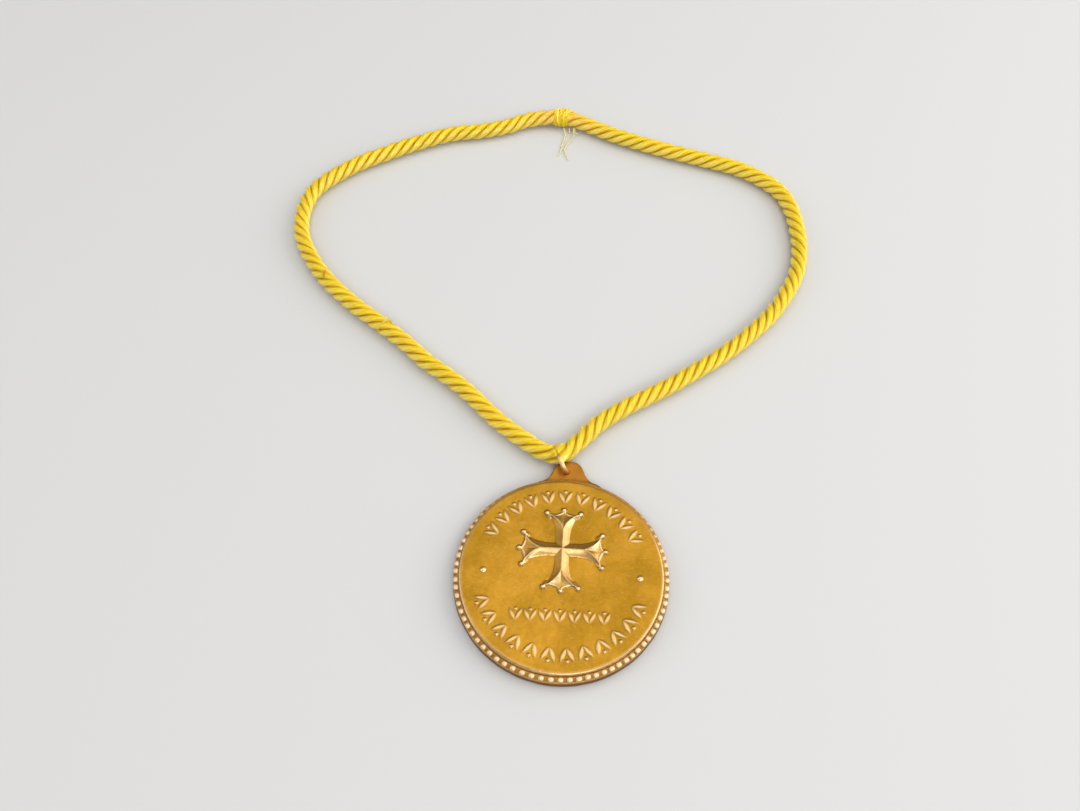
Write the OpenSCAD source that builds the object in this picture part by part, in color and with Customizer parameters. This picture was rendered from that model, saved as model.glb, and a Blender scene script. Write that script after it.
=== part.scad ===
// Ceremonial medallion on a twisted neck rope, lying face up.
// The origin is the centre of the flat back. +Z points out of the face, +Y towards the lug and the rope.

/* [Backing] */
// Radius of the copper backing disc
backing_r = 43; // [42.9:0.1:46]
// Thickness of the backing disc
backing_t = 4; // [3.5:0.1:5]
// Rounding of the backing's lower edge
backing_round = 1.2; // [0.5:0.1:1.8]

/* [Lug] */
// Sideways place of the lug
lug_x = 0.9; // [-2:0.1:2]
// Half width of the lug where it leaves the disc
lug_foot = 9.2; // [8:0.1:11]
// Half width of the lug at half of its height
lug_waist = 6.9; // [5.5:0.1:7.5]
// Half width of the lug at its top corners
lug_top = 4.8; // [4:0.1:5.4]
// Height of the lug's top edge above the disc's centre
lug_y = 52.4; // [51:0.1:52.6]
// Height of the lug's underside above the surface
lug_z = 2; // [1.9:0.1:2.1]
// Thickness of the lug
lug_t = 1.6; // [1.3:0.1:1.6]
// Half width of the worn oval hole that the jump ring passes through
lug_hole_r = 1.05; // [1.05:0.05:1.5]

/* [Face] */
// Radius of the wall of the face disc
face_r = 40.7; // [40:0.05:40.75]
// Height of the plain field above the surface
field_z = 7.3; // [7:0.1:8]
// Radius of the face's rounded shoulder
shoulder_r = 0.8; // [0.4:0.1:1.5]

/* [Bead rim] */
// Number of beads
bead_count = 78; // [60:1:80]
// Radius of one bead
bead_r = 0.95; // [0.8:0.05:0.95]
// Distance of the beads from the disc's centre
bead_ring_r = 41.75; // [41.75:0.05:41.9]

/* [Cross] */
// Distance from the cross's centre to the middle ball of an arm
cross_reach = 17.3; // [15:0.1:18]
// Half width of an arm near the centre
cross_waist = 2.6; // [2:0.1:3.2]
// Half spread of an arm at its two outer points
cross_spread = 6.6; // [5:0.1:7]
// Height of the ridge lines above the field
cross_h = 2; // [1:0.1:2.6]
// Radius of the balls
cross_ball_r = 1.05; // [0.8:0.05:1.2]

/* [Ornament] */
// Length of a leaf in the sprigs
leaf_l = 6.6; // [5:0.1:7]
// Width of a leaf in the sprigs
leaf_w = 2.2; // [2.2:0.1:2.6]
// Lean of a leaf to each side
leaf_lean = 25; // [18:1:28]
// Height of the sprigs above the field
sprig_h = 0.4; // [0.3:0.05:0.8]
// Number of sprigs in the upper arc
upper_sprigs = 11; // [7:2:11]
// Number of sprigs in the lower arc
lower_sprigs = 12; // [8:2:12]
// Number of sprigs in the short row under the cross
row_sprigs = 7; // [3:2:7]

/* [Jump ring] */
// Radius of the ring's wire
wire_r = 0.75; // [0.6:0.05:0.75]
// Radius of the ring's round ends, at the middle of the wire
ring_end_r = 4.3; // [4.2:0.05:4.3]
// Length of each straight side of the ring
ring_side = 4.2; // [4:0.1:4.4]

/* [Neck rope] */
// Radius over the rope
rope_r = 4.1; // [3.5:0.1:4.1]
// Radius of the rope where the ring squeezes it
pinch_r = 2.7; // [2.5:0.1:2.7]
// Largest radius of the whipping
whipping_r = 4.7; // [4.4:0.1:5]
// Length of the whipping
whipping_l = 8; // [6:0.5:10]

/* [Hidden] */
$fn = 64;

// Small gap between pieces that lie on each other
gap = 0.05;
face_z = backing_t + gap;
// The beads stand in a narrow band of metal just outside the face's wall
band_in = face_r + 0.1;
band_out = 42.5;
band_top = 4.65;
bead_z = 4.55;
// Number of steps of a rounded edge
round_steps = 5;

// Centre of the jump ring, its turn about Z, and how far its top leans to the left
ring_at = [-2.1, 52.4, 4.85];
ring_turn = 18;
ring_lean = 20;
// Width of the cut where the ring's wire ends meet
ring_cut = 0.2;
// Centre of the hole in the lug, where the ring's wire passes
lug_hole_at = [0.36, 47.52];
// How much longer than wide the hole is worn
lug_hole_wear = 1.5;
// Radius of the lug's rounded corners, rise of its arched top, and heights of its foot and waist
lug_corner_r = 2.2;
lug_arch = 0.5;
lug_foot_y = 40.8;
lug_waist_y = 46;

// Centre of the cross, and the middle radii of the ornament
cross_at = [0.1, 9.4];
sprig_r = 30;
sprig_pitch = 12;
row_pitch = 5.7;
row_y = -20.6;
row_scale = 0.9;
dot_at = [31, -0.6];
dot_r = 1.1;
// How deep raised work is rooted in the field
root = 0.6;
berry_r = 0.7;

// Centre and lean of the whipping at the back of the neck
whipping_at = [-11.5, 259.4, 4.7];
whipping_turn = -5;
whipping_reach = [cos(whipping_turn), sin(whipping_turn), 0] * whipping_l / 2;
// Place of the rope's sharp bend in the ring
bend_at = [-2.8, 54.3, 4.9];
// Sides of the rope's tube, and the distance over which the squeeze fades out
rope_sides = 10;
pinch_fade = 5;

// Middle of the rope, from the whipping round the right side to the ring and back by the left side
rope_route = [
  whipping_at + whipping_reach,
  [7, 253, 4.1], [18, 248, 4.1], [45, 239, 4.1], [63, 234, 4.1], [84, 227, 4.1],
  [102, 212, 4.1], [108, 188, 4.1], [106, 163, 4.1], [95, 140, 4.1], [81, 123, 4.1], [67, 110, 4.1],
  [54, 100, 4.1], [43, 92, 4.1], [23, 79, 4.1], [13, 71, 4.1], [4.5, 61, 4.7],
  bend_at,
  [-10.5, 55.5, 4.6], [-19, 61, 4.1], [-30, 69, 4.1], [-47, 85, 4.1], [-56, 92, 4.1],
  [-66, 99, 4.1], [-76, 108, 4.1], [-89, 118, 4.1], [-105, 130, 4.1], [-123, 148, 4.1], [-136, 172, 4.1],
  [-135, 197, 4.1], [-119, 216, 4.1], [-101, 228, 4.1], [-85, 237, 4.1], [-69, 244, 4.1], [-55, 247, 4.1],
  [-42, 251, 4.1], [-30, 257, 4.1],
  whipping_at - whipping_reach
];

// Points of an arc in the plane, from one angle to another
function arc(centre, r, from, to, steps) =
  [for (i = [0 : steps]) let (a = from + (to - from) * i / steps) centre + r * [cos(a), sin(a)]];

// One direction in the plane, turned by an angle
function turned(p, a) = [p.x * cos(a) - p.y * sin(a), p.x * sin(a) + p.y * cos(a)];

// Half width of a cross arm at a distance from the centre: straight, then flaring along an arc
flare_from = 5;
flare_to = 14.6;
flare_spread = 5.3;
flare_r = (pow(flare_to - flare_from, 2) + pow(flare_spread - cross_waist, 2))
  / (2 * (flare_spread - cross_waist));
function arm_half(x) =
  let (d = max(0, x - flare_from)) cross_waist + flare_r - sqrt(flare_r * flare_r - d * d);

// Outline of one arm's end and sides, as rows of distance, sideways place and crest number
tip_x = 15.7;
mid_x = cross_reach - 0.5;
scallop = 0.9;
arm_stations = [[5, 1], [8, 2], [11, 3], [13, 3], [flare_to, 3]];
arm_side = [for (s = arm_stations) [s[0], arm_half(s[0]), s[1]]];
arm_end = [for (t = [0 : 0.25 : 1])
  [tip_x + (mid_x - tip_x) * t - 4 * scallop * t * (1 - t), cross_spread * (1 - t), 3]];
arm_upper = concat(arm_side, arm_end);
arm_rows = concat(
  [[cross_waist, -cross_waist, 0]],
  [for (row = arm_upper) [row[0], -row[1], row[2]]],
  [for (i = [len(arm_upper) - 2 : -1 : 0]) arm_upper[i]]
);
// Crest of an arm, as rows of distance and share of the full height
crest_rows = [[5, 0.88], [8, 0.86], [11, 0.9]];
cross_edge = 0.35;

// Radius of the rope at a point: narrow where the ring squeezes it
function rope_r_at(p) =
  rope_r - (rope_r - pinch_r) * exp(-pow(norm(p - bend_at) / pinch_fade, 2));

// Direction of the rope in the plane at ring number i
function rope_dir(i) =
  let (
    last = len(rope_route) - 1,
    d = i == 0 || i == last ? [cos(whipping_turn), sin(whipping_turn), 0]
      : rope_route[min(i + 1, last)] - rope_route[max(i - 1, 0)],
    flat = [d.x, d.y]
  ) flat / norm(flat);

// Ring number i of the rope's tube
function rope_ring(i) =
  let (p = rope_route[i], d = rope_dir(i), r = rope_r_at(p))
  [for (k = [0 : rope_sides - 1])
    let (a = 360 * k / rope_sides - 90)
    [p.x - d.y * r * cos(a), p.y + d.x * r * cos(a), p.z + r * sin(a)]];

module rounded_disc() {
  rotate_extrude()
    polygon(concat(
      [[0, 0]],
      arc([backing_r - backing_round, backing_round], backing_round, -90, 0, round_steps),
      [[backing_r, backing_t - 0.4], [backing_r - 0.4, backing_t], [0, backing_t]]
    ));
}

module lug_outline() {
  foot_steps = 6;
  foot_flare = 2;
  widest = lug_foot + foot_flare;
  foot_curve = [for (i = [0 : foot_steps]) let (t = i / foot_steps) [
    widest - (widest - lug_waist) * (1 - pow(1 - t, 2)),
    lug_foot_y + (lug_waist_y - lug_foot_y) * t
  ]];
  corner = [lug_top - lug_corner_r, lug_y - lug_arch - lug_corner_r];
  right = concat(
    [[lug_foot, lug_foot_y - 4]],
    foot_curve,
    arc(corner, lug_corner_r, 20, 80, round_steps),
    [[0, lug_y]]
  );
  polygon(concat(right, [for (i = [len(right) - 1 : -1 : 0]) [-right[i].x, right[i].y]]));
}

// The hole in the lug, worn oval by the ring
module lug_hole() {
  h = 2 * backing_t;
  for (end = [-1, 1])
    translate([0, end * lug_hole_wear / 2, 0]) cylinder(h = h, r = lug_hole_r, center = true);
  cube([2 * lug_hole_r, lug_hole_wear, h], center = true);
}

module backing_disc() {
  color("sienna")
    difference() {
      union() {
        rounded_disc();
        translate([lug_x, 0, lug_z]) linear_extrude(lug_t) lug_outline();
      }
      translate([lug_hole_at.x, lug_hole_at.y, 0]) lug_hole();
    }
}

module face_body() {
  rotate_extrude()
    polygon(concat(
      [[0, face_z], [face_r, face_z]],
      arc([face_r - shoulder_r, field_z - shoulder_r], shoulder_r, 0, 90, round_steps),
      [[0, field_z]]
    ));
}

module face_disc() {
  color("goldenrod")
    union() {
      face_body();
      translate([cross_at.x, cross_at.y, field_z]) cross();
      translate([0, 0, field_z - root]) linear_extrude(root + sprig_h) ornament();
      for (side = [-1, 1]) translate([side * dot_at.x, dot_at.y, field_z]) sphere(r = dot_r);
    }
}

// Triangles from an outline's edge, numbered from rim on, up to the crest point that each part of it
// belongs to; the crest points are numbered from peak on
function fans(crest_of, rim, peak) =
  let (n = len(crest_of))
  [for (i = [0 : n - 1])
    let (j = (i + 1) % n)
    for (f = [[rim + i, peak + crest_of[i], rim + j], [peak + crest_of[i], peak + crest_of[j], rim + j]])
    if (f[0] != f[1]) f];

// The cross: one closed roof-shaped body over its outline, and a ball on each of its twelve points
module cross() {
  outline = [for (a = [0 : 90 : 270]) for (row = arm_rows) turned([row[0], row[1]], a)];
  crest_count = len(crest_rows);
  crest_of = [for (arm = [0 : 3]) for (row = arm_rows) row[2] == 0 ? 0 : row[2] + arm * crest_count];
  crest = concat(
    [[0, 0, cross_h]],
    [for (a = [0 : 90 : 270]) for (c = crest_rows)
      let (p = turned([c[0], 0], a)) [p.x, p.y, cross_h * c[1]]]
  );
  n = len(outline);
  m = len(crest);
  points = concat(
    [for (p = outline) [p.x, p.y, -root]],
    [for (p = outline) [p.x, p.y, cross_edge]],
    crest,
    [for (p = crest) [p.x, p.y, -root]]
  );
  walls = [for (i = [0 : n - 1]) [i, n + i, n + (i + 1) % n, (i + 1) % n]];
  top = fans(crest_of, n, 2 * n);
  base = [for (f = fans(crest_of, 0, 2 * n + m)) [f[2], f[1], f[0]]];
  polyhedron(points, concat(walls, top, base));
  for (a = [0 : 90 : 270]) {
    rotate(a) translate([cross_reach, 0, 0.5]) sphere(r = cross_ball_r);
    for (side = [-1, 1])
      rotate(a) translate([tip_x + 0.2, side * (cross_spread + 0.3), 0.5]) sphere(r = cross_ball_r);
  }
}

module leaf(l, w) {
  r = (l * l + w * w) / (4 * w);
  translate([0, l / 2])
    intersection() {
      translate([r - w / 2, 0]) circle(r = r);
      translate([w / 2 - r, 0]) circle(r = r);
    }
}

module sprig() {
  for (side = [-1, 1]) rotate(side * leaf_lean) leaf(leaf_l, leaf_w);
  translate([0, leaf_l * 0.82]) circle(r = berry_r);
}

module ornament() {
  for (i = [0 : upper_sprigs - 1])
    rotate((i - (upper_sprigs - 1) / 2) * sprig_pitch) translate([0, sprig_r]) sprig();
  for (i = [0 : lower_sprigs - 1])
    rotate(180 + (i - (lower_sprigs - 1) / 2) * sprig_pitch) translate([0, sprig_r]) sprig();
  for (i = [0 : row_sprigs - 1])
    translate([(i - (row_sprigs - 1) / 2) * row_pitch, row_y]) scale(row_scale) sprig();
}

// Domed beads on a narrow band, cut off flat where they lie on the backing
module bead_rim() {
  color("khaki")
    difference() {
      union() {
        rotate_extrude()
          polygon([[band_in, face_z], [band_out, face_z], [band_out, band_top], [band_in, band_top]]);
        for (i = [0 : bead_count - 1])
          rotate(360 * i / bead_count) translate([bead_ring_r, 0, bead_z]) sphere(r = bead_r);
      }
      cylinder(h = face_z, r = backing_r + 1);
    }
}

// Ring of round wire with two half round ends and two straight sides, cut through where the wire meets
module jump_ring() {
  color("gold")
    translate(ring_at) rotate([0, 0, ring_turn]) rotate([0, -ring_lean, 0]) rotate([90, 0, 90])
      difference() {
        union() {
          for (end = [0, 180])
            rotate(end) translate([ring_side / 2, 0, 0]) rotate(-90)
              rotate_extrude(angle = 180) translate([ring_end_r, 0]) circle(r = wire_r);
          for (side = [-1, 1])
            translate([-ring_side / 2, side * ring_end_r, 0]) rotate([0, 90, 0])
              cylinder(h = ring_side, r = wire_r);
        }
        translate([-ring_side / 4, ring_end_r, 0]) cube([ring_cut, 2, 2], center = true);
      }
}

module neck_cord() {
  rings = [for (i = [0 : len(rope_route) - 1]) rope_ring(i)];
  points = [for (ring = rings) for (p = ring) p];
  n = rope_sides;
  last = len(rings) - 1;
  sides = [for (i = [0 : last - 1]) for (k = [0 : n - 1])
    let (a = i * n + k, b = i * n + (k + 1) % n)
    for (face = [[a, b, b + n], [a, b + n, a + n]]) face];
  caps = [[for (k = [n - 1 : -1 : 0]) k], [for (k = [0 : n - 1]) last * n + k]];
  color("gold") polyhedron(points, concat(sides, caps));
}

module neck_whipping() {
  color("yellow")
    translate(whipping_at) rotate([0, 90, whipping_turn]) translate([0, 0, -whipping_l / 2])
      rotate_extrude()
        polygon([
          [0, 0], [rope_r, 0], [whipping_r, whipping_l * 0.2], [whipping_r, whipping_l * 0.8],
          [rope_r, whipping_l], [0, whipping_l]
        ]);
}

backing_disc();
face_disc();
bead_rim();
jump_ring();
neck_cord();
neck_whipping();
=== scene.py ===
"""Looks of a ceremonial medallion that lies face up.

A cast disc with a raised cross on a copper backing, hung by a jump ring on a closed loop of twisted rope.
Lengths are in millimetres, and MM turns them into metres. The rope's route and the places on it, the
materials, the floor and the lights are in metres.
"""

import math

import bpy
import numpy as np
from mathutils import Matrix, Vector, noise
from mathutils.geometry import delaunay_2d_cdt


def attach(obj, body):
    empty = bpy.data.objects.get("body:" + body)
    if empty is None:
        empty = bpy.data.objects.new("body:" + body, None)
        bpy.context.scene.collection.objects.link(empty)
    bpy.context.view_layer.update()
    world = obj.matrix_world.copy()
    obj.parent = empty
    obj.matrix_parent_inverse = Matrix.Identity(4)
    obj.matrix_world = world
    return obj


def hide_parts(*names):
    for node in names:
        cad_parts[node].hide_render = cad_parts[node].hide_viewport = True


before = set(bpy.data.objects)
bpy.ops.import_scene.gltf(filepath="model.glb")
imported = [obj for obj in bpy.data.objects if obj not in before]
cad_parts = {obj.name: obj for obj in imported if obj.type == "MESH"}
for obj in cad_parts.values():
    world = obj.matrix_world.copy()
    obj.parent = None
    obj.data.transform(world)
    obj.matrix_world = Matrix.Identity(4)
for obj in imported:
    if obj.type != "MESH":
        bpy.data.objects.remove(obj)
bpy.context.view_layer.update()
rng = np.random.default_rng(11)
MM = 0.001

# Camera: the photo's own viewpoint, in millimetres, degrees and pixels of a 1080 pixel wide image
CAMERA_AT = (-3.211, -146.787, 371.567)
LOOK_DOWN = 58.44
CAMERA_ROLL = 0.97
CAMERA_TURN = 2.5
FOCAL_PX = 981.5
IMAGE_WIDTH_PX = 1080

# Neck rope: its middle line in metres, from the whipping round the right side to the ring and back
WHIPPING_AT = (-0.0115, 0.2594, 0.0047)
WHIPPING_TURN = -5
WHIPPING_L = 8
BEND_AT = (-0.0028, 0.0543, 0.0049)
ROPE_Z = 0.0041
ROUTE_RIGHT = [
    (0.007, 0.253), (0.018, 0.248), (0.045, 0.239), (0.063, 0.234), (0.084, 0.227), (0.102, 0.212),
    (0.108, 0.188), (0.106, 0.163), (0.095, 0.140), (0.081, 0.123), (0.067, 0.110), (0.054, 0.100),
    (0.043, 0.092), (0.023, 0.079), (0.013, 0.071),
]
# Beside the ring the rope has risen
RISEN_RIGHT = (0.0045, 0.061, 0.0047)
RISEN_LEFT = (-0.0105, 0.0555, 0.0046)
ROUTE_LEFT = [
    (-0.019, 0.061), (-0.030, 0.069), (-0.047, 0.085), (-0.056, 0.092), (-0.066, 0.099), (-0.076, 0.108),
    (-0.089, 0.118), (-0.105, 0.130), (-0.123, 0.148), (-0.136, 0.172), (-0.135, 0.197), (-0.119, 0.216),
    (-0.101, 0.228), (-0.085, 0.237), (-0.069, 0.244), (-0.055, 0.247), (-0.042, 0.251), (-0.030, 0.257),
]
ROPE_D = 8
STRANDS = 4
STRAND_R = 1.63
STRAND_CIRCLE_R = 2.34
LAY_LENGTH = 25.2
ROPE_STEP = 0.85
# Half the stretch round the ring where the rope is modelled finer, and how many times finer
FINE_L = 7
FINER = 4
# Directions of a strand's sides, in degrees: close together where they face out of the rope
STRAND_SIDES = [*range(-120, 121, 12), 144, 168, 192, 216]
# Yarns that show on a strand, and how far they stand out
YARNS = 5
YARN_RELIEF = 0.16
YARN_TWIST = 0.2
# How far the rope swells round the ring and which way, and how soon that fades beside the ring's plane
SWELLS = [(2.9, (0.0, -0.77, 0.64)), (1.7, (-0.41, 0.21, 0.89))]
SWELL_FADE = 2.1
# It swells in full within the first length of the ring's middle, and dies out over the second
SWELL_NEAR = 7
SWELL_END = 4
# The cleft that parts the swelling: its depth as a share, its middle, and its widths left and right of that
CLEFT = 0.42
CLEFT_AT = -0.3
CLEFT_W = (1.0, 0.4)
# Strands pressed together there leave no groove deeper than this radius
PRESSED_R = 3.4
# The stretch that ends at the whipping, where the strands have loosened
LOOSE_L = 11
# On the whipping's other side only their colour shows: over what length, and how strongly
TINTED_L = 16
TINTED = 0.7

# Whipping of thread and its loose tails
THREAD_R = 0.34
TAIL_R = 0.36
WHIPPING_TURNS = 12
# Radius of the turns at the middle, and how much less it is at the ends
WHIPPING_R = 4.32
WHIPPING_TAPER = 0.55
# How far the turns lean along the rope at this radius
WHIPPING_TILT = 1.1
BOUND_R = 4.3
# How many wraps cross the turns, and their radius
CROSSING_WRAPS = 17
CROSSING_R = 4.62
TAILS = [
    [(-10.5, 254.6, 2.0), (-9.6, 250.3, 0.7), (-10.9, 243.5, 0.4), (-11.5, 238.3, 0.5), (-13.0, 235.2, 0.4)],
    [(-5.4, 254.6, 2.4), (-5.1, 249.9, 0.8), (-8.3, 243.7, 0.5), (-9.4, 239.9, 0.4), (-7.0, 232.3, 0.5)],
    [(-4.7, 255.0, 2.4), (-4.4, 253.0, 1.0), (-3.5, 252.2, 0.5), (-2.3, 251.9, 0.6)],
    [(-7.6, 255.2, 1.6), (-7.4, 253.6, 0.8), (-6.9, 252.9, 0.5)],
]

# Stitches: place in metres, wraps, first and last angle, slant, how pale, and radius of the thread
STITCHES = [
    ((-0.087, 0.1165), 2, 0.3, 2.6, 0.5, 0.5, 0.2),
    ((-0.1197, 0.1420), 2, 1.25, 1.89, -4.0, 0.0, 0.28),
]
STITCH_R = 4.0
# Places in metres where a tuft stands out of the rope and where it is frayed, and the hairs at each
TUFT_AT = [(-0.0872, 0.1176), (-0.0846, 0.1158), (0.0060, 0.0655)]
FRAY_AT = [(0.009, 0.068), (-0.0105, 0.0560), (0.0930, 0.1375), (-0.131, 0.206), (-0.0195, 0.2585)]
TUFT_HAIRS = 8
FRAY_HAIRS = 9
# Hairs all along the rope, and at the whipping
STRAY_HAIRS = 150
TAIL_HAIRS = 9

# Jump ring: middle, turn and lean, round ends, straight sides, cut, and half sizes of its flattened wire
RING_AT = (-2.1, 52.4, 4.85)
RING_TURN = 18
RING_LEAN = 20
RING_END_R = 4.3
RING_SIDE = 4.2
RING_CUT = 0.2
WIRE_WIDE = 0.98
WIRE_THICK = 0.7
WIRE_SIDES = 20

# Disc
FACE_R = 40.7
FACE_Z = 4.05
FIELD_Z = 7.3
SHOULDER_R = 1.0
# How far the field falls towards the shoulder, and over what width
EDGE_FALL = 0.16
EDGE_FALL_W = 2.2
RIM_STEPS = 400
# Spacing of the face's points on and off its relief, and their least distance from the cross's lines
FINE_STEP = 0.25
COARSE_STEP = 0.62
LINE_GAP = 0.14
BACKING_R = 43.1
BACKING_ROUND = 1.2
# The backing's edge above its rounded foot, as rows of how far it draws in and height
BACKING_EDGE = [(0.02, 1.8), (0.1, 2.5), (0.25, 3.2), (0.4, 3.65), (0.6, 3.9), (0.9, 4)]

# Cross: its centre, and rows of distance from there and height of the ridge line
CROSS_AT = (-0.15, 9.65)
CREST_ROWS = [(0, 2.0), (5, 1.76), (8, 1.7), (11, 1.65), (14, 1.3), (16, 0.9)]
CROSS_EDGE = 0.35
# Hips, which leave the ridge in a curve and run to the arm's corners
HIP_FROM = 7.5
HIP_Y = 6.3
CROSS_WAIST = 2.6
FLARE_FROM = 5
FLARE_TO = 14.6
FLARE_SPREAD = 5.3
TIP_X = 15.7
TIP_Y = 6.6
MID_X = 16.8
SCALLOP = 0.9
BALL_R = 0.98
BALL_Z = 0.3
BALL_DOME = 0.75
BALLS = [(17.3, 0), (15.9, 6.9)]
# Necks that join the balls to the arms: from, to and radius
NECKS = [((14.0, 5.2), (15.9, 6.9), 0.55), ((15.6, 0), (17.3, 0), 0.5)]
# Raised lip along an arm's end, and how hollow the slopes are
LIP_H = 0.3
LIP_W = 0.36
LIP_FROM = 12
HOLLOW = 1.5
# Painted highlight on the cross's slopes that face the lower right, towards the light: how pale they are near
# its middle, while towards the arms' ends they are fully pale
LIT_SLOPE_PALE = 0.5
# The sunken line chased round the cross
HALO_OUT = 2.3
HALO_W = 0.85
HALO_DEPTH = 0.16

# Leaf sprigs and dots
LEAF_L = 6.6
LEAF_W = 1.9
LEAF_LEAN = 25
SPRIG_H = 0.36
BERRY_R = 0.7
SPRIG_R = 30
SPRIG_PITCH = 12
UPPER_SPRIGS = 11
LOWER_SPRIGS = 12
ROW_SPRIGS = 7
ROW_PITCH = 5.7
ROW_Y = -20.6
ROW_SCALE = 0.9
DOTS = [(31, -0.6), (-31, -0.6)]
DOT_R = 1.1
DOT_DOME = 0.55

# Bead rim
BEADS = 78
# A bead's radius across the rim, its length and height as shares of that, and how square it is
BEAD_R = 1.2
BEAD_LONG = 1.07
BEAD_TALL = 0.88
BEAD_SQUARE = 0.75
BEAD_RING_R = 41.75
BEAD_Z = 5.0
# The band that carries the beads slopes down and out from the face
BAND = [(40.72, 4.05), (42.5, 4.05), (42.5, 4.35), (42.2, 4.6), (41.3, 5.45), (40.72, 5.8), (40.72, 4.05)]
# Direction of the rim's far side, in degrees, where the rim is left plain and darker as painted shade, and
# how far the beads are sunk there
FAR_SIDE_AT = 85
BEAD_SUNK = 0.95
# Rows of angle, in degrees, and how closely the beads are set there
SPACING_ROWS = [
    (0, 82), (30, 78), (110, 77), (190, 78), (210, 81), (230, 76), (250, 72), (270, 72), (290, 82), (320, 85),
    (345, 84), (360, 82),
]

# Lug, whose outline is mirrored about its middle
LUG_X = 0.9
LUG_Z = 2.0
LUG_T = 1.6
LUG_HALF = [
    (9.2, 36.8), (14.5, 39.6), (12.6, 41.6), (10.2, 42.5), (8.6, 43.7), (7.6, 45.1), (6.9, 46.6), (6.3, 48.1),
    (5.6, 49.4), (4.8, 50.5), (3.7, 51.4), (2.2, 51.95), (0, 52.3),
]
LUG_ROUND = 0.45
# The hole's opening round the ring's wire, and how far it has drifted where it comes out below
LUG_HOLE_AT = (0.22, 46.66)
LUG_HOLE_HALF = (1.14, 0.95)
LUG_HOLE_DRIFT = (0.26, 1.14)
# The lug is darker from its foot up to here
LUG_DARKER_TO_Y = 44.2

# Floor, in metres
FLOOR_HALF = 4.0
FLOOR_Z = -0.0001


def smoothstep(x, start=0, width=1):
    """From 0 at the start to 1 after that width, smoothly."""
    t = np.clip((x - start) / width, 0, 1)
    return t * t * (3 - 2 * t)


def hump(x, width):
    """1 at nought, fading out on both sides over about that width."""
    return np.exp(-((x / width) ** 2))


def turned(points, degrees):
    """Points in the plane, turned about the origin."""
    a = math.radians(degrees)
    return np.asarray(points, float) @ np.array([[math.cos(a), math.sin(a)], [-math.sin(a), math.cos(a)]])


def roughness_of_cast(points, size, height):
    """Gentle unevenness at each point: noise of about that size across, up to that height."""
    return height * np.array([noise.noise(Vector(p) / size) for p in points])


def blend(t, start, end, a, b):
    """From a at the start to b at the end."""
    return (end - t) / (end - start) * a + (t - start) / (end - start) * b


def catmull_rom(points, closed, per_segment=24):
    """A smooth line through the points, as a centripetal Catmull-Rom curve."""
    p = np.asarray(points, float)
    n = len(p)
    if not closed:
        p = np.vstack([2 * p[0] - p[1], p, 2 * p[-1] - p[-2]])
    line = []
    for i in range(n if closed else n - 1):
        a, b, c, d = (p[(i + k - 1) % n] for k in range(4)) if closed else p[i : i + 4]
        ta = 0.0
        tb = ta + math.sqrt(np.linalg.norm(b - a))
        tc = tb + math.sqrt(np.linalg.norm(c - b))
        td = tc + math.sqrt(np.linalg.norm(d - c))
        t = np.linspace(tb, tc, per_segment, endpoint=False)[:, None]
        ab = blend(t, ta, tb, a, b)
        bc = blend(t, tb, tc, b, c)
        cd = blend(t, tc, td, c, d)
        line.append(blend(t, tb, tc, blend(t, ta, tc, ab, bc), blend(t, tb, td, bc, cd)))
    line.append(p[:1] if closed else p[-2:-1])
    return np.vstack(line)


def resample(line, step):
    """The same line as points an equal distance apart, and their distances along it."""
    s = np.concatenate([[0], np.cumsum(np.linalg.norm(np.diff(line, axis=0), axis=1))])
    at = np.linspace(0, s[-1], max(2, round(s[-1] / step) + 1))
    return np.stack([np.interp(at, s, line[:, k]) for k in range(3)], axis=1), at


def unit(v):
    return v / np.maximum(np.linalg.norm(v, axis=-1, keepdims=True), 1e-12)


def closed_bounds(count, start=0):
    """Pairs of neighbours round a closed line of points."""
    return [(start + i, start + (i + 1) % count) for i in range(count)]


def tube(centres, radii, sides, outward=(0.0, 0.0, 1.0)):
    """A capped tube round a line, in its unit. Sides are a number, or a list of directions from outward."""
    centres = np.asarray(centres, float)
    n = len(centres)
    angle = np.radians(sides) if isinstance(sides, list) else np.arange(sides) * 2 * math.pi / sides
    sides = len(angle)
    along = unit(np.gradient(centres, axis=0))
    out = np.broadcast_to(np.asarray(outward, float), centres.shape)
    u = unit(out - (out * along).sum(1, keepdims=True) * along)
    v = np.cross(along, u)
    ring = u[:, None] * np.cos(angle)[None, :, None] + v[:, None] * np.sin(angle)[None, :, None]
    points = centres[:, None] + ring * np.broadcast_to(radii, n)[:, None, None]
    faces = [[a, b, b + sides, a + sides] for i in range(n - 1) for a, b in closed_bounds(sides, i * sides)]
    caps = [list(range(sides))[::-1], list(range((n - 1) * sides, n * sides))]
    return points.reshape(-1, 3), faces + caps


def revolve(profile, steps):
    """Closed surface from a profile of radius and height, turned about Z."""
    profile = np.asarray(profile, float)
    n = len(profile)
    angle = np.arange(steps) * 2 * math.pi / steps
    x = profile[None, :, 0] * np.cos(angle)[:, None]
    y = profile[None, :, 0] * np.sin(angle)[:, None]
    z = np.broadcast_to(profile[None, :, 1], x.shape)
    points = np.stack([x, y, z], axis=-1).reshape(-1, 3)
    pairs = [(i * n + k, j * n + k) for i, j in closed_bounds(steps) for k in range(n - 1)]
    return points, [[a, b, b + 1, a + 1] for a, b in pairs]


def triangulated(flat, bounds):
    """Triangles over flat points, kept to the bounds: points, edges, triangles and each point's sources."""
    out = delaunay_2d_cdt([Vector(p) for p in flat], bounds, [], 0, 1e-5)
    return np.array([tuple(v) for v in out[0]]), np.array(out[1]), [list(t) for t in out[2]], out[3]


def joined(parts):
    """Several pairs of points and faces as one."""
    points, faces, count = [], [], 0
    for p, f in parts:
        points.append(np.asarray(p, float))
        faces += [[i + count for i in face] for face in f]
        count += len(p)
    return np.vstack(points), faces


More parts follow.
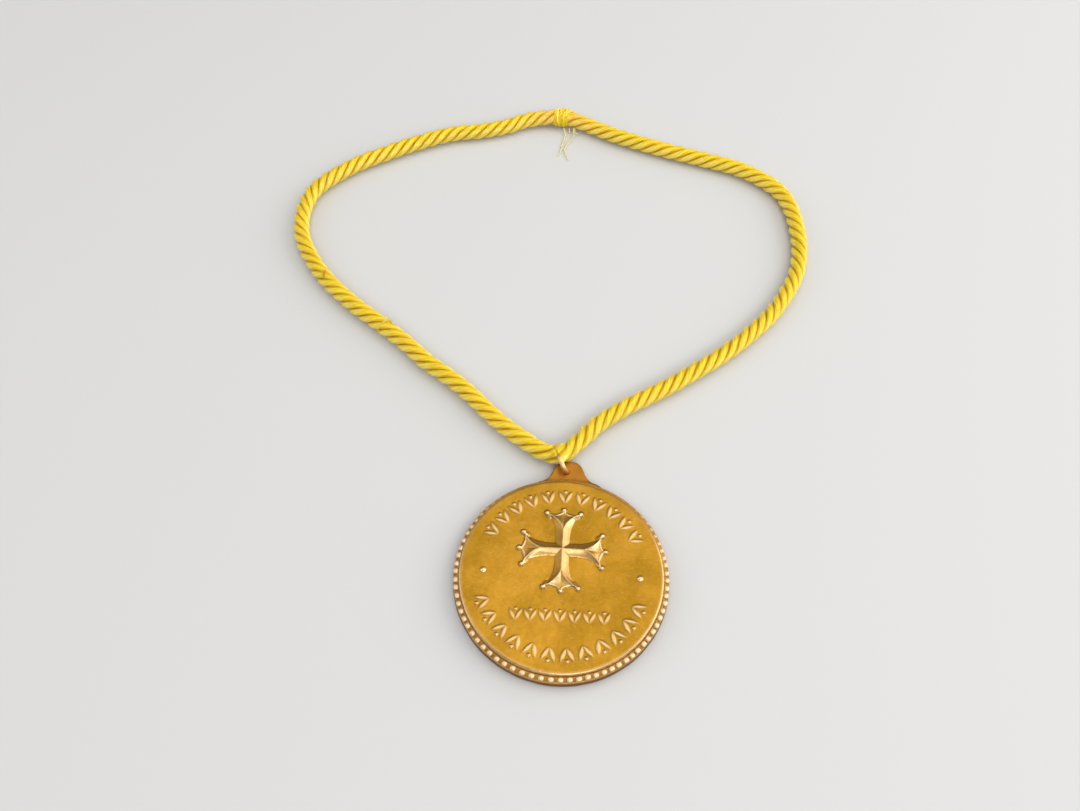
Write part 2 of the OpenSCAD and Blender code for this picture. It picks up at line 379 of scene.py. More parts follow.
def new_piece(name, points, faces, material, unit_m=MM):
    """A smooth-shaded mesh object from points in millimetres."""
    mesh = bpy.data.meshes.new(name)
    mesh.from_pydata((np.asarray(points) * unit_m).tolist(), [], faces)
    mesh.validate()
    mesh.materials.append(material)
    mesh.shade_smooth()
    return new_object(name, mesh)


def new_object(name, data):
    thing = bpy.data.objects.new(name, data)
    bpy.context.scene.collection.objects.link(thing)
    return thing


def set_values(piece, name, values):
    """One number for each point of the piece, for its material to read."""
    attribute = piece.data.attributes.new(name, "FLOAT", "POINT")
    attribute.data.foreach_set("value", np.asarray(values, np.float32))


# Materials


class Nodes:
    """A material's node tree with one Principled shader, built up by short calls."""

    def __init__(self, name):
        self.material = bpy.data.materials.new(name)
        self.material.use_nodes = True
        self.tree = self.material.node_tree
        self.shader = self.tree.nodes["Principled BSDF"]

    def add(self, kind, inputs=None, **settings):
        node = self.tree.nodes.new("ShaderNode" + kind)
        for key, value in settings.items():
            setattr(node, key, value)
        for key, value in (inputs or {}).items():
            self.put(node.inputs[key], value)
        return node

    def put(self, socket, value):
        if isinstance(value, bpy.types.NodeSocket):
            self.tree.links.new(value, socket)
        else:
            socket.default_value = (*value, 1.0) if socket.type == "RGBA" else value

    def set(self, **inputs):
        for key, value in inputs.items():
            self.put(self.shader.inputs[key.replace("_", " ")], value)

    def place(self):
        return self.add("TexCoord").outputs["Object"]

    def value(self, name):
        return self.add("Attribute", attribute_name=name).outputs["Fac"]

    def noise(self, scale, detail=4, rough=0.55, vector=None):
        inputs = {"Vector": vector or self.place(), "Scale": scale, "Detail": detail, "Roughness": rough}
        return self.add("TexNoise", inputs).outputs["Fac"]

    def drawn_out(self, vector, scale, turn, size, detail, rough):
        """Noise that is stretched along one direction."""
        at = self.add("Mapping", {"Vector": vector, "Scale": scale, "Rotation": (0, 0, turn)})
        return self.noise(size, detail, rough, at.outputs["Vector"])

    def range(self, value, low, high, to_low=0.0, to_high=1.0):
        inputs = {"Value": value, "From Min": low, "From Max": high, "To Min": to_low, "To Max": to_high}
        return self.add("MapRange", inputs).outputs["Result"]

    def math(self, operation, a, b):
        return self.add("Math", {0: a, 1: b}, operation=operation).outputs[0]

    def mix(self, factor, a, b):
        node = self.add("Mix", data_type="RGBA")
        self.put(node.inputs["Factor"], factor)
        self.put(node.inputs["A"], a)
        self.put(node.inputs["B"], b)
        return node.outputs["Result"]

    def bump(self, height, distance, strength=1.0, normal=None):
        inputs = {"Height": height, "Distance": distance, "Strength": strength}
        if normal:
            inputs["Normal"] = normal
        return self.add("Bump", inputs).outputs["Normal"]


def cast_metal(name, plain, patina, worn_and_highlight, rough, edges=True, grain=1.0):
    """Old cast metal with cloudy patina, pits and fine scratches, pale where its mesh marks wear and painted
    highlight, and dark where it marks dirt and painted shade.
    """
    m = Nodes(name)
    clouds = m.noise(55, 5, 0.6)
    blotches = m.noise(190, 4, 0.6)
    pits = m.noise(2600, 3, 0.6)
    skin = m.noise(900, 4, 0.65)
    scratches = m.drawn_out(m.place(), (1, 14, 1), 0.6, 420, 3, 0.5)
    colour = m.mix(m.range(clouds, 0.38, 0.66), plain, patina)
    colour = m.mix(m.range(blotches, 0.56, 0.72, 0.0, 0.5), colour, patina)
    colour = m.mix(m.range(scratches, 0.62, 0.75, 0.0, 0.35), colour, worn_and_highlight)
    roughness = m.range(skin, 0.3, 0.7, rough - 0.07, rough + 0.09)
    if edges:
        # Pale with wear and painted highlight, dark with dirt, patina in hollows and painted shade, where the
        # mesh marks them
        wear_and_highlight, dirt_and_shade = m.value("wear_and_highlight"), m.value("dirt_and_shade")
        colour = m.mix(m.math("MULTIPLY", wear_and_highlight, m.range(skin, 0.3, 0.6, 0.6, 1.0)), colour, worn_and_highlight)
        colour = m.mix(m.math("MULTIPLY", dirt_and_shade, 0.75), colour, [0.45 * c for c in patina])
        roughness = m.math("SUBTRACT", roughness, m.math("MULTIPLY", wear_and_highlight, 0.1))
    normal = m.bump(skin, 0.00012, 0.35 * grain)
    normal = m.bump(pits, 0.00004, 0.35 * grain, normal)
    m.set(Base_Color=colour, Metallic=1.0, Roughness=roughness, Normal=normal)
    return m.material


def rope_satin():
    """Satin filaments along each strand, with painted shade in the grooves, a painted highlight on the crests
    and a painted sheen, pale, on the rope's sides.
    """
    m = Nodes("rope_satin")
    uv = m.add("UVMap", uv_map="along").outputs["UV"]
    yarns = m.drawn_out(uv, (0.45, 3, 1), 0.1, 3.2, 2, 0.5)
    streaks = m.drawn_out(uv, (0.35, 9, 1), 0.1, 3.2, 4, 0.6)
    threads = m.drawn_out(uv, (0.6, 22, 1), 0.12, 4.0, 2, 0.5)
    clouds = m.noise(38, 3)
    colour = m.mix(m.range(streaks, 0.34, 0.64), (0.76, 0.48, 0.002), (1.0, 0.75, 0.006))
    colour = m.mix(m.range(yarns, 0.38, 0.6, 0.55, 0.0), colour, (0.60, 0.35, 0.001))
    colour = m.mix(m.range(clouds, 0.46, 0.66, 0.0, 0.5), colour, (0.97, 0.57, 0.02))
    groove_shade = m.value("groove_shade")
    # Painted highlight on the strands' crests, and painted shade in their grooves and in the cleft by the
    # ring
    colour = m.mix(m.range(groove_shade, 0.0, 0.3, 0.2, 0.0), colour, (1.0, 0.86, 0.08))
    colour = m.mix(m.range(groove_shade, 0.0, 1.0, 0.0, 0.8), colour, (0.52, 0.31, 0.001))
    colour = m.mix(m.math("MULTIPLY", m.value("loose"), 0.6), colour, (0.92, 0.50, 0.10))
    # Painted sheen: the rope's sides are painted pale
    colour = m.mix(m.math("MULTIPLY", m.value("painted_highlight"), 0.55), colour, (1.0, 0.84, 0.22))
    normal = m.bump(yarns, 0.0006, 0.6)
    normal = m.bump(threads, 0.0003, 0.6, normal)
    roughness = m.range(streaks, 0.3, 0.7, 0.24, 0.36)
    run = m.add("Tangent", direction_type="UV_MAP", uv_map="along").outputs["Tangent"]
    m.set(Base_Color=colour, Roughness=roughness, Normal=normal, Specular_IOR_Level=1.0, Metallic=0.2)
    m.set(Specular_Tint=(1.0, 0.86, 0.35))
    m.set(Anisotropic=0.85, Anisotropic_Rotation=0.25, Tangent=run)
    m.set(Sheen_Weight=0.25, Sheen_Roughness=0.3, Sheen_Tint=(1.0, 0.9, 0.45))
    return m.material


def sewing_thread(name, plain, deep):
    """Fine twisted thread, paler by the share that the mesh gives, if it gives one."""
    m = Nodes(name)
    fuzz = m.noise(1500, 4, 0.7)
    colour = m.mix(m.range(fuzz, 0.35, 0.65), deep, plain)
    colour = m.mix(m.value("paler"), colour, (1.0, 0.82, 0.10))
    m.set(Base_Color=colour, Roughness=0.6, Normal=m.bump(fuzz, 0.0001, 0.6))
    m.set(Sheen_Weight=0.12, Sheen_Roughness=0.5)
    return m.material


def whipping_thread():
    return sewing_thread("whipping_thread", (0.90, 0.68, 0.004), (0.74, 0.49, 0.003))


def tail_thread():
    return sewing_thread("tail_thread", (0.84, 0.77, 0.42), (0.62, 0.53, 0.20))


def mend_thread():
    return sewing_thread("mend_thread", (0.54, 0.24, 0.006), (0.40, 0.16, 0.004))


def face_gilt():
    return cast_metal("face_gilt", (0.47, 0.235, 0.022), (0.33, 0.165, 0.010), (0.88, 0.655, 0.37), 0.4)


def bead_gilt():
    return cast_metal("bead_gilt", (0.62, 0.35, 0.075), (0.45, 0.24, 0.045), (0.82, 0.64, 0.40), 0.6,
                      grain=0.6)


def backing_copper():
    return cast_metal("backing_copper", (0.43, 0.19, 0.024), (0.32, 0.12, 0.016), (0.72, 0.42, 0.17), 0.42)


def ring_gilt():
    return cast_metal("ring_gilt", (0.86, 0.62, 0.27), (0.70, 0.44, 0.14), (0.97, 0.86, 0.60), 0.45,
                      edges=False, grain=0.5)


def floor_paper():
    m = Nodes("floor_paper")
    m.set(Base_Color=(0.57, 0.565, 0.555), Roughness=0.85)
    return m.material


# Camera


def make_camera():
    down, roll = math.radians(LOOK_DOWN), math.radians(CAMERA_ROLL)
    right = Vector((1, 0, 0))
    up = Vector((0, math.sin(down), math.cos(down)))
    forward = Vector((0, math.cos(down), -math.sin(down)))
    right, up = math.cos(roll) * right + math.sin(roll) * up, math.cos(roll) * up - math.sin(roll) * right
    turn = Matrix.Rotation(math.radians(CAMERA_TURN), 3, "Z")
    axes = turn @ Matrix((right, up, -forward)).transposed()
    data = bpy.data.cameras.new("camera")
    data.sensor_fit = "HORIZONTAL"
    data.lens = data.sensor_width * FOCAL_PX / IMAGE_WIDTH_PX
    data.clip_start = 0.01
    camera = new_object("camera", data)
    camera.matrix_world = Matrix.Translation(Vector(CAMERA_AT) * MM) @ axes.to_4x4()
    bpy.context.scene.camera = camera


# Neck rope


def whipping_way():
    """Direction of the rope at the whipping."""
    turn = math.radians(WHIPPING_TURN)
    return np.array([math.cos(turn), math.sin(turn), 0])


def rope_line():
    """The rope's middle line in millimetres, all round from the whipping's middle, and distances along it."""
    reach = whipping_way() * WHIPPING_L / 2 * MM
    middle = np.array(WHIPPING_AT)
    right, left = ([(x, y, ROPE_Z) for x, y in side] for side in (ROUTE_RIGHT, ROUTE_LEFT))
    route = [middle, middle + reach, *right, RISEN_RIGHT, BEND_AT, RISEN_LEFT, *left, middle - reach]
    line, s = resample(catmull_rom(route, closed=True) / MM, ROPE_STEP / FINER)
    at_ring = s[nearest(line, RING_AT[0] * MM, RING_AT[1] * MM)]
    step = np.where(np.abs(s - at_ring) < FINE_L, 1, FINER)
    keep = (np.arange(len(s)) % step == 0) | (s == s[-1])
    return line[keep], s[keep]


def nearest(line, x, y):
    """Index of the rope's point nearest to a place in metres."""
    return int(np.argmin(np.hypot(line[:, 0] * MM - x, line[:, 1] * MM - y)))


def rope_frame(line):
    """Directions along the line, level to its left, and up from it."""
    along = unit(np.gradient(line, axis=0))
    left = unit(np.cross([0, 0, 1], along))
    return along, left, np.cross(along, left)


def round_rope(left, up, angle):
    """Directions out from the rope at those angles, which go from its left over its top."""
    return left * np.cos(angle)[:, None] + up * np.sin(angle)[:, None]


def squeezed(points, middles):
    """The points, swollen on both sides of the ring's plane, and how deep each is in the cleft between."""
    turn, lean = math.radians(RING_TURN), math.radians(RING_LEAN)
    normal = [math.cos(lean) * math.cos(turn), math.cos(lean) * math.sin(turn), math.sin(lean)]
    off = (points - RING_AT) @ normal
    from_cleft = off - CLEFT_AT
    cleft = hump(from_cleft, np.where(from_cleft < 0, *CLEFT_W))
    near = 1 - smoothstep(np.linalg.norm(middles - RING_AT, axis=1), SWELL_NEAR, SWELL_END)
    swell = near * hump(off, SWELL_FADE)
    out = unit(points - middles)
    up_top = np.clip(out @ SWELLS[1][1], 0, 1)
    lack = np.maximum(PRESSED_R - np.linalg.norm(points - middles, axis=1), 0)
    moved = points + out * (lack * swell * up_top)[:, None]
    for reach, way in SWELLS:
        moved = moved + np.outer(reach * swell * (1 - CLEFT * cleft) * np.clip(out @ way, 0, 1) ** 2, way)
    return moved, near * cleft * up_top


def make_rope(line, s, material):
    """Twisted strands of yarns, with their painted groove shade, how loosened they are, and the painted sheen
    on the rope's sides, at each point.
    """
    _, left, up = rope_frame(line)
    loose = hump(s[-1] - s - WHIPPING_L / 2, LOOSE_L) * (s > s[-1] / 2)
    wander = 0.18 * np.sin(s / 31) + 0.12 * np.sin(s / 13.7 + 1)
    sides = len(STRAND_SIDES)
    yarn_at = YARNS / 2 * (np.radians(STRAND_SIDES)[None, :] + YARN_TWIST * s[:, None])
    parts, groove_shade, painted_highlight = [], [], []
    for k in range(STRANDS):
        phase = 2 * math.pi * (k / STRANDS - s / LAY_LENGTH) + wander
        radius = STRAND_CIRCLE_R * (1 + 0.05 * loose * math.cos(2.4 * k))
        strand_r = STRAND_R * (1 + 0.02 * np.sin(s / 9 + 2 * k))
        out = round_rope(left, up, phase)
        centres = line + out * radius[:, None]
        points, faces = tube(centres, strand_r, STRAND_SIDES, out)
        crease = 1 - np.abs(np.cos(yarn_at + k)).reshape(-1, 1)
        points = points - unit(points - np.repeat(centres, sides, axis=0)) * YARN_RELIEF * crease**1.5
        middles = np.repeat(line, sides, axis=0)
        depth = np.linalg.norm(points - middles, axis=1) / (STRAND_CIRCLE_R + STRAND_R)
        points, in_cleft = squeezed(points, middles)
        parts.append((points, faces))
        # Painted shade, deepest between strands and yarns and in the cleft by the ring
        in_groove = np.maximum(1 - smoothstep(depth, 0.62, 0.36), 0.35 * crease[:, 0] ** 2)
        groove_shade.append(np.maximum(in_groove, 0.9 * in_cleft))
        # Painted sheen, pale towards the rope's left and right sides and kept out of the painted groove shade
        side = np.abs(((points - middles) * np.repeat(left, sides, axis=0)).sum(1)) / (ROPE_D / 2)
        painted_highlight.append(smoothstep(side, 0.45, 0.4) * (1 - smoothstep(groove_shade[-1] / 0.5)))
    tinted = TINTED * hump(s - WHIPPING_L / 2, TINTED_L)
    loosened = np.repeat(np.maximum(loose, tinted), sides)
    rope = new_piece("neck_rope", *joined(parts), material)
    set_values(rope, "groove_shade", np.concatenate(groove_shade))
    set_values(rope, "loose", np.tile(loosened, STRANDS))
    set_values(rope, "painted_highlight", np.concatenate(painted_highlight))
    add_strand_uv(rope, s)
    return rope


def mesh_numbers(items, name):
    """That whole number of each loop or face of a mesh."""
    numbers = np.zeros(len(items), np.int64)
    items.foreach_get(name, numbers)
    return numbers


def add_strand_uv(rope, s):
    """UV that runs along each strand in centimetres and once round it, the same from strand to strand."""
    rings, sides = len(s), len(STRAND_SIDES)
    uv = rope.data.uv_layers.new(name="along")
    loops = mesh_numbers(rope.data.loops, "vertex_index")
    per_strand = rings * sides
    strand, rest = loops // per_strand, loops % per_strand
    ring, side = rest // sides, rest % sides
    around = side / sides
    first = mesh_numbers(rope.data.polygons, "loop_start")
    total = mesh_numbers(rope.data.polygons, "loop_total")
    quads = first[total == 4][:, None] + np.arange(4)
    wraps = np.ptp(side[quads], axis=1) > 1
    fixed = around[quads]
    fixed[wraps] = np.where(fixed[wraps] == 0, 1.0, fixed[wraps])
    around[quads] = fixed
    values = np.stack([s[ring] / 10 + 7.3 * strand, around + 3 * strand], axis=1)
    uv.data.foreach_set("uv", values.astype(np.float32).ravel())


def make_whipping(material):
    """Turns of thread round the joined rope ends, over a sleeve of packed thread."""
    along = whipping_way()
    left = np.array([-along[1], along[0], 0])
    up = np.array([0, 0, 1.0])
    middle = np.array(WHIPPING_AT) / MM

    def bulge(t):
        return WHIPPING_R - WHIPPING_TAPER * np.abs(2 * t - 1) ** 3

    sleeve_t = np.linspace(0, 1, 17)
    sleeve_line = middle + along * ((sleeve_t - 0.5) * (WHIPPING_L - 0.4))[:, None]
    parts = [tube(sleeve_line, bulge(sleeve_t) - 0.12, 32)]
    t = np.linspace(0, 1, WHIPPING_TURNS * 26 + 1)
    angle = t * WHIPPING_TURNS * 2 * math.pi
    unevenness = 0.12 * np.sin(angle * 0.37 + 1) + 0.08 * np.sin(angle * 1.31)
    radius = bulge(t) + unevenness
    place = (t - 0.5) * (WHIPPING_L - 0.6) + 0.34 * np.sin(angle * 0.73)
    out = round_rope(left, up, angle)
    turns = middle + along * place[:, None] + out * radius[:, None]
    parts.append(tube(turns, THREAD_R, 7, out))
    paler = [np.zeros(len(points)) for points, _ in parts]
    for _ in range(CROSSING_WRAPS):
        start = rng.uniform(-0.9, 1.4)
        a = np.linspace(start, start + rng.uniform(1.2, 2.3), 20)
        span = rng.uniform(1.5, 6.5) * rng.choice([-1, -1, 1])
        x = np.linspace(-0.5, 0.5, 20) * span + rng.uniform(-3.0, 3.0)
        x = np.clip(x, -WHIPPING_L * 0.58, WHIPPING_L * 0.58)
        lift = CROSSING_R + 0.24 * np.sin(np.linspace(0, math.pi, 20)) - 0.035 * x * x
        out = round_rope(left, up, a)
        parts.append(tube(middle + along * x[:, None] + out * lift[:, None], THREAD_R * 0.85, 6, out))
        paler.append(np.full(len(parts[-1][0]), rng.uniform(0.1, 0.9)))
    points, faces = joined(parts)
    points = points + np.outer((points - middle) @ left * WHIPPING_TILT / BOUND_R, along)
    whipping = new_piece("whipping", points, faces, material)
    set_values(whipping, "paler", np.concatenate(paler))
    return whipping


def thread_end(points, radius, curl=0.0):
    """A loose end of thread that thins to its tip."""
    line, s = resample(catmull_rom(points, closed=False), 0.5)
    sway = curl * np.sin(s * 1.9)[:, None] * np.array([1.0, 0.3, 0.0])
    taper = radius * (1 - 0.55 * smoothstep(s / s[-1], 0.75, 0.25))
    line = line + sway * smoothstep(s / 3)[:, None]
    return tube(line, taper, 6)


def stray_hair(start, direction, length, radius=0.045):
    """A short curved filament that stands off the rope."""
    t = np.linspace(0, 1, 6)[:, None]
    droop = np.array([0, 0, -0.35]) * length
    bend = rng.normal(0, 0.25, 3) * length
    line = start + direction * length * t + bend * t**2 + droop * t**3
    line[:, 2] = np.maximum(line[:, 2], 0.1)
    return tube(line, radius * (1 - 0.6 * t[:, 0]), 3)


def make_tails(material):
    """The whipping's loose thread ends, and hairs that stand out of it."""
    parts = [thread_end(points, TAIL_R, 0.22) for points in TAILS]
    top = np.array(WHIPPING_AT) / MM + [0, 0, BOUND_R]
    for _ in range(TAIL_HAIRS):
        start = top + [rng.uniform(-3.4, 3.4), rng.uniform(-1.2, 3.2), rng.uniform(-0.9, 0)]
        direction = unit(np.array([rng.normal(0, 0.7), rng.uniform(0.2, 1.2), rng.uniform(0.1, 0.7)]))
        parts.append(stray_hair(start, direction, rng.uniform(1.2, 2.6), 0.15))
    return new_piece("thread_tails", *joined(parts), material)


def make_stitch(line, material):
    """Wraps of thread where the rope was mended, and a short darker stitch further along."""
    parts, paler = [], []
    for place, wraps, start, end, slant, shade, radius in STITCHES:
        i = nearest(line, *place)
        along, left, up = (v[i] for v in rope_frame(line))
        for k in range(wraps):
            a = np.linspace(start, end, 22)
            x = (k - (wraps - 1) / 2) * 0.4 + slant * np.cos(a)
            out = round_rope(left, up, a)
            parts.append(tube(line[i] + along * x[:, None] + out * STITCH_R, radius, 6, out))
            paler.append(np.full(len(parts[-1][0]), shade))
    stitch = new_piece("rope_stitch", *joined(parts), material)
    set_values(stitch, "paler", np.concatenate(paler))
    return stitch


def make_hairs(line, material):
    """Fine filaments pulled out of the rope, thick together where the photo shows it frayed."""
    along, left, up = rope_frame(line)
    parts = []
    spots = [(rng.integers(20, len(line) - 20), 0.032, rng.uniform(1.0, 2.4)) for _ in range(STRAY_HAIRS)]
    for x, y in FRAY_AT:
        i = nearest(line, x, y)
        spots += [(i + rng.integers(-2, 3), 0.1, rng.uniform(1.4, 2.8)) for _ in range(FRAY_HAIRS)]
    for x, y in TUFT_AT:
        i = nearest(line, x, y)
        for _ in range(TUFT_HAIRS):
            out = unit(0.75 * up[i] - left[i] + along[i] * rng.uniform(-0.15, 0.15))
            direction = unit(np.array([rng.normal(0, 0.25), 0.9, 0.5]))
            parts.append(stray_hair(line[i] + out * 3.5, direction, rng.uniform(1.6, 2.4), 0.22))
    for i, radius, length in spots:
        a = rng.uniform(-0.4, math.pi + 0.4)
        out = left[i] * math.cos(a) + up[i] * math.sin(a)
        direction = unit(out + along[i] * rng.normal(0, 0.8))
        parts.append(stray_hair(line[i] + out * 3.75, direction, length, radius))
    return new_piece("rope_hairs", *joined(parts), material)


# Face relief


def arm_half(x):
    """Half width of a cross arm at a distance from the centre."""
    length, widening = FLARE_TO - FLARE_FROM, FLARE_SPREAD - CROSS_WAIST
    flare_r = (length**2 + widening**2) / (2 * widening)
    d = np.clip(x - FLARE_FROM, 0, length)
    flare = CROSS_WAIST + flare_r - np.sqrt(flare_r**2 - d**2)
    tip = FLARE_SPREAD + (x - FLARE_TO) * (TIP_Y - FLARE_SPREAD) / (TIP_X - FLARE_TO)
    return np.where(x > FLARE_TO, tip, flare)


def arm_end(y):
    """Distance of an arm's scalloped end from the centre."""
    t = 1 - np.clip(np.abs(y) / TIP_Y, 0, 1)
    return TIP_X + (MID_X - TIP_X) * t - 4 * SCALLOP * t * (1 - t)


def hip_y(a):
    """How far from the arm's middle line its hips are, at a distance from the centre."""
    return HIP_Y * np.clip((a - HIP_FROM) / (TIP_X - HIP_FROM), 0, 1) ** 2


def hip_x(b):
    """Distance from the centre at which the hips are that far from the arm's middle line."""
    return HIP_FROM + (TIP_X - HIP_FROM) * np.sqrt(np.clip(b / HIP_Y, 0, 1))


def folded(x, y):
    """How far along the nearest arm each point is, and how far to its side."""
    x, y = np.abs(x), np.abs(y)
    return np.maximum(x, y), np.minimum(x, y)


def cross_height(x, y):
    """Height of the cross over the field, rough distance outside its outline, and where it stands proud."""
    a, b = folded(x, y)
    half, end, hip, start = arm_half(a), arm_end(b), hip_y(a), hip_x(b)
    inside = np.minimum(half - b, end - a)
    on_end = (b < hip) & (a > HIP_FROM)
    end_share = (end - a) / np.maximum(end - start, 0.1)
    side_share = (half - b) / np.maximum(half - hip, 0.1)
    share = np.where(on_end, end_share, side_share)
    crest = np.interp(np.where(on_end, start, a), *zip(*CREST_ROWS, strict=True))
    roof = CROSS_EDGE + (crest - CROSS_EDGE) * np.clip(share, 0, 1) ** HOLLOW
    proud = hump(end - a - 0.3, LIP_W) * smoothstep(a, LIP_FROM, 2) * (inside > -0.15)
    height = (roof + LIP_H * proud) * smoothstep(inside, -0.12, 0.26)
    for (x1, y1), (x2, y2), r in NECKS:
        along = ((a - x1) * (x2 - x1) + (b - y1) * (y2 - y1)) / ((x2 - x1) ** 2 + (y2 - y1) ** 2)
        along = np.clip(along, 0, 1)
        d = np.hypot(a - x1 - along * (x2 - x1), b - y1 - along * (y2 - y1))
        rise = 0.35 + 0.8 * np.sqrt(np.maximum(r**2 - d**2, 0)) * smoothstep(along * 1.5)
        height = np.maximum(height, np.where(d < r, rise, 0))
        proud = np.maximum(proud, (d < r) * along)
    for bx, by in BALLS:
        d = np.hypot(a - bx, b - by)
        dome = BALL_Z + BALL_DOME * np.sqrt(np.maximum(BALL_R**2 - d**2, 0))
        height = np.maximum(height, np.where(d < BALL_R, dome, 0))
        proud = np.maximum(proud, d < BALL_R)
    return height, -inside, proud


def leaf_height(x, y):
    """Height of one leaf that grows from the origin along +Y: domed, with a vein down the middle."""
    r = (LEAF_L**2 + LEAF_W**2) / (4 * LEAF_W)
    d = r - LEAF_W / 2
    inside = r - np.maximum(np.hypot(x - d, y - LEAF_L / 2), np.hypot(x + d, y - LEAF_L / 2))
    dome = 0.55 * smoothstep(inside, -0.12, 0.5) + 0.45 * smoothstep(inside / (LEAF_W / 2))
    vein = 0.2 * hump(x, 0.2) * smoothstep(inside, 0.1, 0.5) * smoothstep(y / 1.5)
    return SPRIG_H * (dome - vein)


def sprig_height(x, y):
    """Height of a sprig: two leaves that lean apart and a berry between them."""
    height = np.zeros_like(x)
    for lean in (-LEAF_LEAN, LEAF_LEAN):
        p = turned(np.stack([x, y], axis=1), -lean)
        height = np.maximum(height, leaf_height(p[:, 0], p[:, 1]))
    d = np.hypot(x, y - LEAF_L * 0.82)
    berry = 0.5 * np.sqrt(np.maximum(1 - (d / BERRY_R) ** 2, 0))
    return np.maximum(height, berry)


def sprig_places():
    """Each sprig's foot, the direction that it grows in, and its scale."""
    for count, middle in ((UPPER_SPRIGS, 0), (LOWER_SPRIGS, 180)):
        for i in range(count):
            a = middle + (i - (count - 1) / 2) * SPRIG_PITCH
            yield turned([0, SPRIG_R], a), a, 1.0
    for i in range(ROW_SPRIGS):
        yield np.array([(i - (ROW_SPRIGS - 1) / 2) * ROW_PITCH, ROW_Y]), 0, ROW_SCALE


def face_height(points):
    """Height of the cast face over its plain field, and how pale its raised work is at each point: worn, and
    with a painted highlight on the cross's slopes that face the lower right.
    """
    x, y = points[:, 0], points[:, 1]
    r = np.hypot(x, y)
    cx, cy = x - CROSS_AT[0], y - CROSS_AT[1]
    cross, outside, pale = cross_height(cx, cy)
    # Painted highlight: the cross's slopes that fall to the lower right, towards the light, are painted pale
    fall = cross_height(cx - 0.1, cy + 0.1)[0] - cross_height(cx + 0.1, cy - 0.1)[0]
    painted_highlight = LIT_SLOPE_PALE + (1 - LIT_SLOPE_PALE) * smoothstep(folded(cx, cy)[0], 9, 4)
    pale = np.maximum(pale, np.maximum(painted_highlight * smoothstep(fall / 0.12), 0.1) * (cross > 0.1))
    height = cross - HALO_DEPTH * hump(outside - HALO_OUT, HALO_W) * (cross < 0.01)
    height -= EDGE_FALL * np.clip((r - FACE_R + SHOULDER_R + EDGE_FALL_W) / EDGE_FALL_W, 0, 1) ** 2
    for foot, angle, scale in sprig_places():
        near = np.hypot(x - foot[0], y - foot[1]) < LEAF_L * 1.2
        local = turned(points[near] - foot, -angle) / scale
        sprig = sprig_height(local[:, 0], local[:, 1]) * scale
        height[near] = np.maximum(height[near], sprig)
        pale[near] = np.maximum(pale[near], 0.6 * smoothstep(sprig, 0.1, 0.2))
    for dot in DOTS:
        d = np.hypot(x - dot[0], y - dot[1])
        height = np.maximum(height, DOT_DOME * np.sqrt(np.maximum(DOT_R**2 - d**2, 0)))
        pale = np.maximum(pale, d < DOT_R)
    flat = [(px, py, 0) for px, py in points]
    return height + roughness_of_cast(flat, 9, 0.1) + roughness_of_cast(flat, 2.6, 0.035), pale


def hex_points(spacing, keep):
    """Points of a triangular grid over the face, where keep says so."""
    rows = np.arange(-FACE_R, FACE_R, spacing * math.sqrt(3) / 2)
    points = []
    for i, y in enumerate(rows):
        x = np.arange(-FACE_R, FACE_R, spacing) + (spacing / 2 if i % 2 else 0)
        points.append(np.stack([x, np.full_like(x, y)], axis=1))
    points = np.vstack(points)
    return points[keep(points)]


def near_relief(points):
    """Is each point on or close to raised work?"""
    a, b = folded(points[:, 0] - CROSS_AT[0], points[:, 1] - CROSS_AT[1])
    near = (np.minimum(arm_half(a) - b, arm_end(b) - a) > -0.9) & (a < 19.5)
    for bx, by in BALLS:
        near |= np.hypot(a - bx, b - by) < BALL_R + 0.5
    for foot, angle, scale in sprig_places():
        local = turned(points - foot, -angle) / scale
        reach = np.abs(local[:, 0]) < 0.9 + 0.75 * np.maximum(local[:, 1], 0) ** 0.8
        near |= reach & (local[:, 1] > -0.4) & (local[:, 1] < LEAF_L + 0.3)
    for dot in DOTS:
        near |= np.hypot(points[:, 0] - dot[0], points[:, 1] - dot[1]) < DOT_R + 0.4
    return near


def cross_lines():
    """The cross's ridges, hips and outline, as lines for the mesh to follow."""
    ridge_x = np.arange(0, HIP_FROM + 0.1, 0.3)
    ridge = np.stack([ridge_x, 0 * ridge_x], axis=1)
    hips_x = np.linspace(HIP_FROM, TIP_X - 0.2, 28)
    hip = np.stack([hips_x, hip_y(hips_x)], axis=1)
    side_x = np.linspace(CROSS_WAIST + 0.3, TIP_X, 48)
    side = np.stack([side_x, arm_half(side_x)], axis=1)
    end_y = np.linspace(0, TIP_Y, 24)
    end = np.stack([arm_end(end_y), end_y], axis=1)
    for turn in (0, 90, 180, 270):
        yield turned(ridge, turn) + CROSS_AT
        for line in (hip, side, end):
            for flip in (1, -1):
                yield turned(line * [1, flip], turn) + CROSS_AT


def thinned(points, others, distance):
    """The points that are no closer than that to any of the others, by a coarse grid."""
    cells = {}
    for p in others:
        cells.setdefault((int(p[0] // distance), int(p[1] // distance)), []).append(p)
    kept = []
    for p in points:
        cx, cy = int(p[0] // distance), int(p[1] // distance)
        close = (q for i in (-1, 0, 1) for j in (-1, 0, 1) for q in cells.get((cx + i, cy + j), ()))
        if not any((p[0] - q[0]) ** 2 + (p[1] - q[1]) ** 2 < distance**2 for q in close):
            kept.append(p)
    return np.array(kept)


def smoothed(values, edges, rounds):
    """Values averaged with their neighbours along the edges."""
    count = np.zeros(len(values))
    np.add.at(count, edges[:, 0], 1)
    np.add.at(count, edges[:, 1], 1)
    for _ in range(rounds):
        total = np.zeros(len(values))
        np.add.at(total, edges[:, 0], values[edges[:, 1]])
        np.add.at(total, edges[:, 1], values[edges[:, 0]])
        values = 0.5 * values + 0.5 * total / np.maximum(count, 1)
    return values


